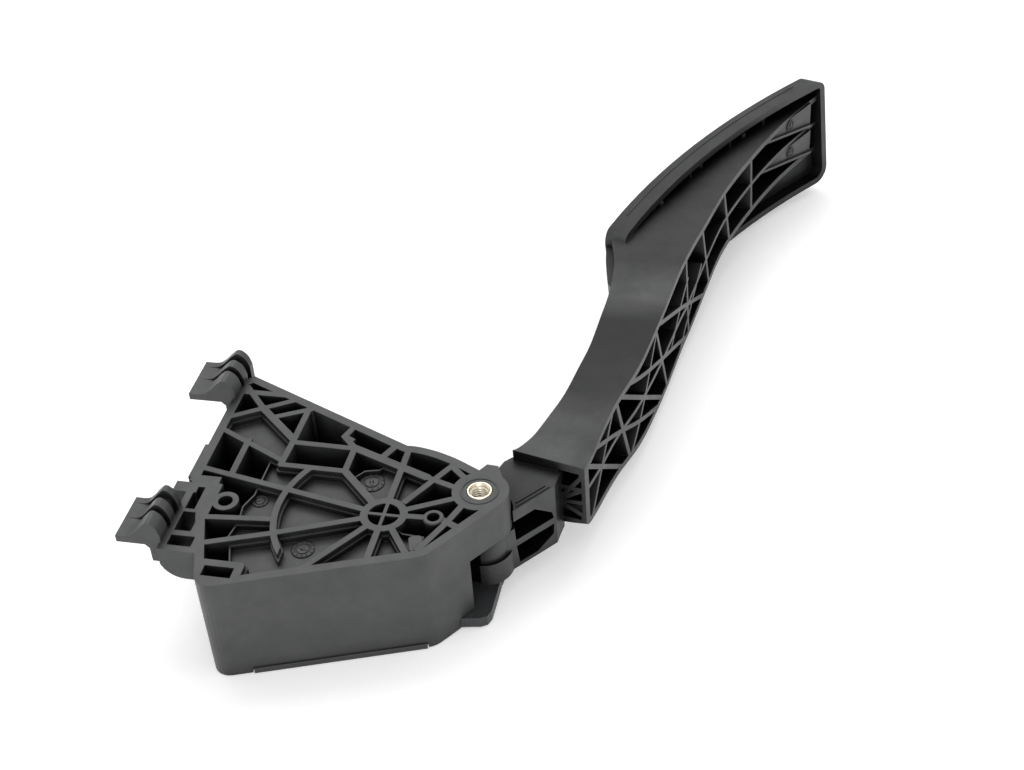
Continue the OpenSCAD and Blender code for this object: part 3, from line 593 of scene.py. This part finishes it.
# Height of the floors of the housing's shallow bays
BAY_FLOOR_MM = 36.0
for label, x, y, turn, size in (
    ("a", -36.9, 3.0, 20, 4.3),
    ("b", -70.5, -10.9, 130, 2.7),
    ("c", -49.9, -30.3, 250, 3.7),
):
    mould_dial("housing_dial_" + label, (x, y, BAY_FLOOR_MM), (0, 0, 1), turn, black, "base", size)

# A low ring of the boss round the insert
boss = bmesh.new()
boss_ring = [(5.55, 39.8), (5.6, 40.22), (5.75, 40.3), (6.05, 40.3), (6.2, 40.22), (6.25, 39.8)]
turned(boss, boss_ring, turns=72)
placed("insert_boss_ring", boss, Matrix.Identity(4), black, "base")

# Two low ridges along the root's outer edge, each with its inset from the edge and its two ends along it
ROOT_EDGE_MM, ROOT_EDGE_DIR, ROOT_TOP_MM = (5.6, -5.1), Vector((0.629, 0.778)), 32.0
RIDGE_HALF_MM = 0.3
ridges = bmesh.new()
inward = Vector((-ROOT_EDGE_DIR.y, ROOT_EDGE_DIR.x))
for inset, first, last in ((1.1, 9.5, 23.4), (2.5, 10.5, 22.6)):
    line = Vector(ROOT_EDGE_MM) + inward * inset
    start, end = line + ROOT_EDGE_DIR * first, line + ROOT_EDGE_DIR * last
    bar(ridges, start, end, inward * RIDGE_HALF_MM, ROOT_TOP_MM - 0.2, ROOT_TOP_MM + 0.3)
placed("root_ridges", ridges, Matrix.Identity(4), arm_black, "pedal")

# ---------------------------------------------------------------- moulded details of the pad

# The pad is an arc that leans about its upper edge
PAD_CENTRE_MM = (322.8, 77.0)
PAD_R_MM, PAD_TOP_MM, PAD_LEAN_DEG, PAD_DIR_DEG = 316.0, 40.0, 5.0, 153.4


def pad_point(r, a, z):
    """The point at a radius, angle and height of the pad before it leans."""
    return (PAD_CENTRE_MM[0] + r * math.cos(a), PAD_CENTRE_MM[1] + r * math.sin(a), z)


def pad_lean():
    """The turn of the pad about the middle of its upper edge."""
    a = math.radians(PAD_DIR_DEG)
    mid = Vector(pad_point(PAD_R_MM, a, PAD_TOP_MM))
    tip = Matrix.Rotation(math.radians(PAD_LEAN_DEG), 4, "Y")
    lean = Matrix.Rotation(a, 4, "Z") @ tip @ Matrix.Rotation(-a, 4, "Z")
    return Matrix.Translation(mid) @ lean @ Matrix.Translation(-mid)


def pad_strip(bm, section, first, last, steps=40):
    """Adds a bar whose (radius, height) section follows the pad's curve between two angles."""
    rows = []
    for k in range(steps + 1):
        a = math.radians(first + (last - first) * k / steps)
        grow = min(1.0, k / 2.0, (steps - k) / 2.0)
        row = []
        for r, z in section:
            r = section[0][0] + (r - section[0][0]) * grow
            row.append(bm.verts.new(pad_point(r, a, z)))
        rows.append(row)
    # The first and last rows have no width, so the bar starts and ends one row further in
    n = len(section)
    for a, b in zip(rows[1:-2], rows[2:-1]):
        for i in range(n):
            bm.faces.new((a[i], b[i], b[(i + 1) % n], a[(i + 1) % n]))
    bm.faces.new(rows[1])
    bm.faces.new(rows[-2])
    for v in rows[0] + rows[-1]:
        bm.verts.remove(v)


# Raised bands along the pad's foot face, in two steps
BAND_BACK_R = 315.2
for label, z0, z1 in (("upper", 34.5, 39.3), ("lower", -6.6, -2.6)):
    band = bmesh.new()
    long_step = [
        (BAND_BACK_R, z0),
        (BAND_BACK_R, z1),
        (316.35, z1 - 0.1),
        (316.55, z1 - 0.5),
        (316.55, z0 + 0.4),
    ]
    short_step = [
        (BAND_BACK_R, z0),
        (BAND_BACK_R, z1 - 0.2),
        (316.8, z1 - 0.3),
        (317.0, z1 - 0.8),
        (317.0, z0 + 0.6),
    ]
    pad_strip(band, long_step, 141.5, 155.1)
    pad_strip(band, short_step, 141.8, 150.2)
    placed("pad_band_" + label, band, pad_lean(), arm_black, "pedal", 50)

# A fine ridge along the pad's rim
ridge = bmesh.new()
rim_section = [(312.6, 39.9), (312.7, 40.18), (312.95, 40.26), (313.3, 40.24), (313.5, 39.9)]
pad_strip(ridge, rim_section, 141.6, 164.6, 60)
placed("pad_rim_ridge", ridge, pad_lean(), arm_black, "pedal", 50)

# Round pegs between the rim and the arm's upper side
pegs = bmesh.new()
for x, y, z in ((32.4, 178.6, 36.2), (44.0, 210.8, 34.8), (58.7, 237.0, 34.5)):
    peg = [(0.04, z - 0.5), (1.15, z - 0.5), (1.1, z + 1.2), (0.75, z + 1.75), (0.04, z + 1.9)]
    turned(pegs, peg, (x, y), 24)
placed("pad_pegs", pegs, Matrix.Identity(4), arm_black, "pedal", 50)

# The plane of the webs in the two upper bays behind the pad
WEB_FROM_MM, WEB_NORMAL = (64.0, 232.0), (0.874, -0.486, 0.0)
WEB_ALONG = Vector((0.486, 0.874, 0.0))
WEB_EDGE_MM = 1.2
WEB_RIDGE_HALF_MM = 0.55


def bay_web(name, left, right, top_left, top_right, low_right):
    """A tapered web with a ridge along its lower edge, between two distances in the webs' plane."""
    bm = bmesh.new()
    low_left = top_left - WEB_EDGE_MM
    prism(bm, [(left, low_left), (left, top_left), (right, top_right), (right, low_right)], -1.3, 0.0)
    start, end = Vector((left, low_left)), Vector((right, low_right))
    slope = Vector((right - left, low_right - low_left)).normalized()
    bar(bm, start, end, Vector((-slope.y, slope.x)) * WEB_RIDGE_HALF_MM, -1.4, 0.9)
    placed(name, bm, facing((*WEB_FROM_MM, 0.0), WEB_NORMAL), arm_black, "pedal")


bay_web("bay_web_upper", 3.0, 42.4, 33.4, 34.0, 23.4)
bay_web("bay_web_lower", 4.0, 43.2, 19.6, 20.4, 9.8)
for label, height, distance, turn, size in (("upper", 30.6, 26.5, 15, 2.5), ("lower", 17.0, 27.5, 75, 2.4)):
    origin = Vector((*WEB_FROM_MM, height)) + WEB_ALONG * distance
    mould_dial("pad_dial_" + label, origin, WEB_NORMAL, turn, arm_black, "pedal", size)

# ---------------------------------------------------------------- camera


def camera_axes():
    """The turn from the part's frame to the camera's right, down and forward, and the camera's place."""
    centre = (IMAGE_W / 2, IMAGE_H / 2)
    down = Vector(
        ((DOWN_POINT_PX[0] - centre[0]) / FOCAL_PX, (DOWN_POINT_PX[1] - centre[1]) / FOCAL_PX, 1)
    ).normalized()
    up = -down
    right = Vector((1, 0, 0))
    x = (right - up * right.dot(up)).normalized()
    y = up.cross(x)
    a = math.radians(CAMERA_TURN_DEG)
    part_x = x * math.cos(a) + y * math.sin(a)
    part_y = y * math.cos(a) - x * math.sin(a)
    to_camera = Matrix((part_x, part_y, up)).transposed()
    anchor = Vector(ANCHOR_MM)
    ray = Vector(((ANCHOR_PX[0] - centre[0]) / FOCAL_PX, (ANCHOR_PX[1] - centre[1]) / FOCAL_PX, 1))
    offset = ray * (FOCAL_PX / ANCHOR_PX_PER_MM) - to_camera @ anchor
    place = -(to_camera.transposed() @ offset)
    return to_camera, place


def make_camera():
    to_camera, place = camera_axes()
    data = bpy.data.cameras.new("camera")
    data.sensor_width = 36.0
    data.lens = FOCAL_PX / IMAGE_W * data.sensor_width
    data.clip_start, data.clip_end = 0.01, 20
    cam = bpy.data.objects.new("camera", data)
    bpy.context.scene.collection.objects.link(cam)
    right, down, forward = to_camera.row[0], to_camera.row[1], to_camera.row[2]
    turn = Matrix((right, -down, -forward)).transposed()
    cam.matrix_world = Matrix.Translation(place * MM) @ turn.to_4x4()
    bpy.context.scene.camera = cam


make_camera()

# ---------------------------------------------------------------- floor, light and world

# How much the floor is lifted towards white for the rays by which it is seen
FLOOR_LIFT = 0.3
# The sky's strength as a light, and as it is seen
SKY_LIGHT, SKY_SEEN = 0.72, 1.0
# Points on which the object rests, from its lowest corners: two of the cover and one of the pad
REST_MM = ((-12.36, -32.65, 0.0), (-64.3, -51.4, 0.0), (19.91, 151.62, -7.15))
FLOOR_GAP_MM = 0.25
FLOOR_HALF_M = 6.0


def seen_ray(tree):
    """One for the camera's own, glossy and transmitted rays, and nought for the rest."""
    path = tree.nodes.new("ShaderNodeLightPath")
    seen = path.outputs["Is Camera Ray"]
    for kind in ("Is Glossy Ray", "Is Transmission Ray"):
        most = tree.nodes.new("ShaderNodeMath")
        most.operation = "MAXIMUM"
        tree.links.new(seen, most.inputs[0])
        tree.links.new(path.outputs[kind], most.inputs[1])
        seen = most.outputs[0]
    return seen


def make_floor():
    """A white floor through the points on which the object rests, a little tilted as the pad is deeper."""
    a, b, c = (Vector(p) * MM for p in REST_MM)
    up = (c - a).cross(b - a).normalized()
    if up.z < 0:
        up = -up
    side = Vector((1, 0, 0))
    side = (side - up * side.dot(up)).normalized()
    away = up.cross(side)
    s = FLOOR_HALF_M
    mesh = bpy.data.meshes.new("floor")
    mesh.from_pydata([(-s, -s, 0), (s, -s, 0), (s, s, 0), (-s, s, 0)], [], [(0, 1, 2, 3)])
    floor = bpy.data.objects.new("floor", mesh)
    bpy.context.scene.collection.objects.link(floor)
    turn = Matrix((side, away, up)).transposed()
    floor.matrix_world = Matrix.Translation(a - up * FLOOR_GAP_MM * MM) @ turn.to_4x4()
    mat, tree, shader = new_material("floor_white")
    paper = object_noise(tree, 9.0, 3.0, 0.5)
    tone = ramp(tree, paper.outputs["Fac"], [(0.3, (0.94, 0.94, 0.94)), (0.7, (0.96, 0.96, 0.96))])
    tree.links.new(tone.outputs["Color"], shader.inputs["Base Color"])
    shader.inputs["Roughness"].default_value = 0.95
    socket(shader, "Specular IOR Level", "Specular").default_value = 0.0
    socket(shader, "Emission Color", "Emission").default_value = WHITE
    lift = tree.nodes.new("ShaderNodeMath")
    lift.operation = "MULTIPLY"
    lift.inputs[1].default_value = FLOOR_LIFT
    tree.links.new(seen_ray(tree), lift.inputs[0])
    tree.links.new(lift.outputs[0], shader.inputs["Emission Strength"])
    mesh.materials.append(mat)


def make_world():
    """A soft even sky that shows as plain white where it is seen."""
    world = bpy.data.worlds.new("studio")
    bpy.context.scene.world = world
    world.use_nodes = True
    tree = world.node_tree
    tree.nodes.clear()
    out = tree.nodes.new("ShaderNodeOutputWorld")
    mix = tree.nodes.new("ShaderNodeMixShader")
    tree.links.new(seen_ray(tree), mix.inputs[0])
    for place, strength in ((1, SKY_LIGHT), (2, SKY_SEEN)):
        sky = tree.nodes.new("ShaderNodeBackground")
        sky.inputs[0].default_value = WHITE
        sky.inputs[1].default_value = strength
        tree.links.new(sky.outputs[0], mix.inputs[place])
    tree.links.new(mix.outputs[0], out.inputs[0])


def area_light(name, place, target, size, power):
    data = bpy.data.lights.new(name, "AREA")
    data.shape = "RECTANGLE"
    data.size, data.size_y = size
    data.energy = power
    lamp = bpy.data.objects.new(name, data)
    bpy.context.scene.collection.objects.link(lamp)
    lamp.location = place
    lamp.rotation_mode = "QUATERNION"
    lamp.rotation_quaternion = (Vector(target) - Vector(place)).to_track_quat("-Z", "Y")


make_floor()
make_world()
area_light("key_soft", (-0.3, 0.95, 1.6), (0.0, 0.05, 0.0), (1.6, 1.2), 13)
area_light("front_soft", (0.35, -1.2, 0.6), (0.0, 0.0, 0.02), (1.0, 0.6), 5)

view = bpy.context.scene.view_settings
view.view_transform = "Standard"
